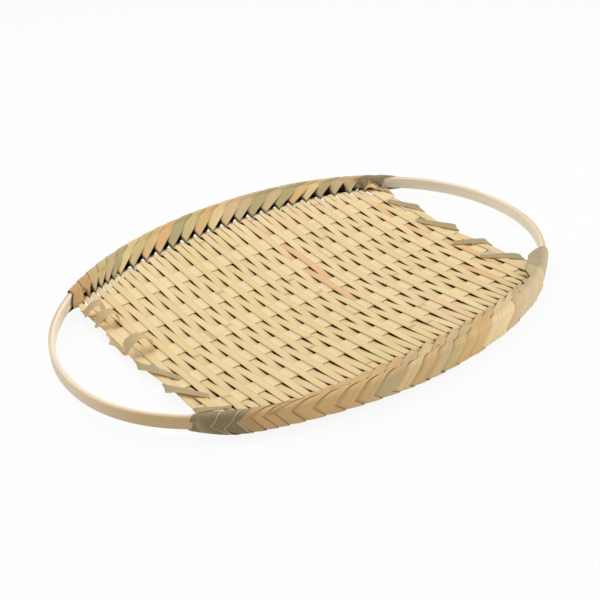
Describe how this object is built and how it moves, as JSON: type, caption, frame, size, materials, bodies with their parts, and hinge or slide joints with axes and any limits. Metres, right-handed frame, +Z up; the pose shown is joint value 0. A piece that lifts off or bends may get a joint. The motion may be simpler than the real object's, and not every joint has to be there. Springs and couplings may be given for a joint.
{
  "type": "zaru bamboo basket",
  "caption": "Shallow oval tray basket of plain-woven split bamboo, bound over a bent bamboo hoop that leaves a bare loop at each end as a handle.",
  "frame": {"origin": "on the table under the middle of the tray", "axes": "+X along the tray's length from handle to handle, +Y across it towards its far rim, +Z up"},
  "size_m": [0.359, 0.2544, 0.0199],
  "materials": {
    "weave_bamboo": "split bamboo, dry and satin, cream to greenish straw, fibre lines along its length",
    "long_bamboo": "split bamboo, dry and satin, straw with faint double node lines",
    "skin_bamboo": "split bamboo with its olive-grey skin outwards, satin",
    "hoop_bamboo": "planed bamboo strip on edge, pale cream ends, tan sides, fine lengthwise grain"
  },
  "bodies": {
    "root": {"hoop": "hoop_bamboo", "crosswise_splint_01": "weave_bamboo", "crosswise_splint_02": "weave_bamboo", "crosswise_splint_03": "weave_bamboo", "crosswise_splint_04": "weave_bamboo", "crosswise_splint_05": "weave_bamboo", "crosswise_splint_06": "weave_bamboo", "crosswise_splint_07": "weave_bamboo", "crosswise_splint_08": "weave_bamboo", "crosswise_splint_09": "weave_bamboo", "crosswise_splint_10": "weave_bamboo", "crosswise_splint_11": "weave_bamboo", "crosswise_splint_12": "weave_bamboo", "crosswise_splint_13": "weave_bamboo", "crosswise_splint_14": "weave_bamboo", "crosswise_splint_15": "weave_bamboo", "crosswise_splint_16": "weave_bamboo", "crosswise_splint_17": "weave_bamboo", "crosswise_splint_18": "weave_bamboo", "crosswise_splint_19": "weave_bamboo", "crosswise_splint_20": "weave_bamboo", "crosswise_splint_21": "weave_bamboo", "crosswise_splint_22": "weave_bamboo", "crosswise_splint_23": "weave_bamboo", "crosswise_splint_24": "weave_bamboo", "crosswise_splint_25": "weave_bamboo", "crosswise_splint_26": "weave_bamboo", "crosswise_splint_27": "weave_bamboo", "crosswise_splint_28": "weave_bamboo", "crosswise_splint_29": "weave_bamboo", "crosswise_splint_30": "weave_bamboo", "crosswise_splint_31": "weave_bamboo", "crosswise_splint_32": "weave_bamboo", "crosswise_splint_33": "weave_bamboo", "crosswise_splint_34": "weave_bamboo", "crosswise_splint_35": "weave_bamboo", "crosswise_splint_36": "weave_bamboo", "crosswise_splint_37": "weave_bamboo", "crosswise_splint_38": "weave_bamboo", "crosswise_splint_39": "weave_bamboo", "crosswise_splint_40": "weave_bamboo", "crosswise_splint_41": "weave_bamboo", "crosswise_splint_42": "weave_bamboo", "crosswise_splint_43": "weave_bamboo", "crosswise_splint_44": "weave_bamboo", "crosswise_splint_45": "weave_bamboo", "lengthwise_splint_1": "long_bamboo", "lengthwise_splint_2": "long_bamboo", "lengthwise_splint_3": "long_bamboo", "lengthwise_splint_4": "long_bamboo", "lengthwise_splint_5": "long_bamboo", "near_left_starter_1": "skin_bamboo", "far_right_starter_1": "skin_bamboo", "near_left_starter_2": "skin_bamboo", "far_right_starter_2": "skin_bamboo", "near_left_starter_3": "skin_bamboo", "far_right_starter_3": "skin_bamboo"}
  },
  "joints": []
}
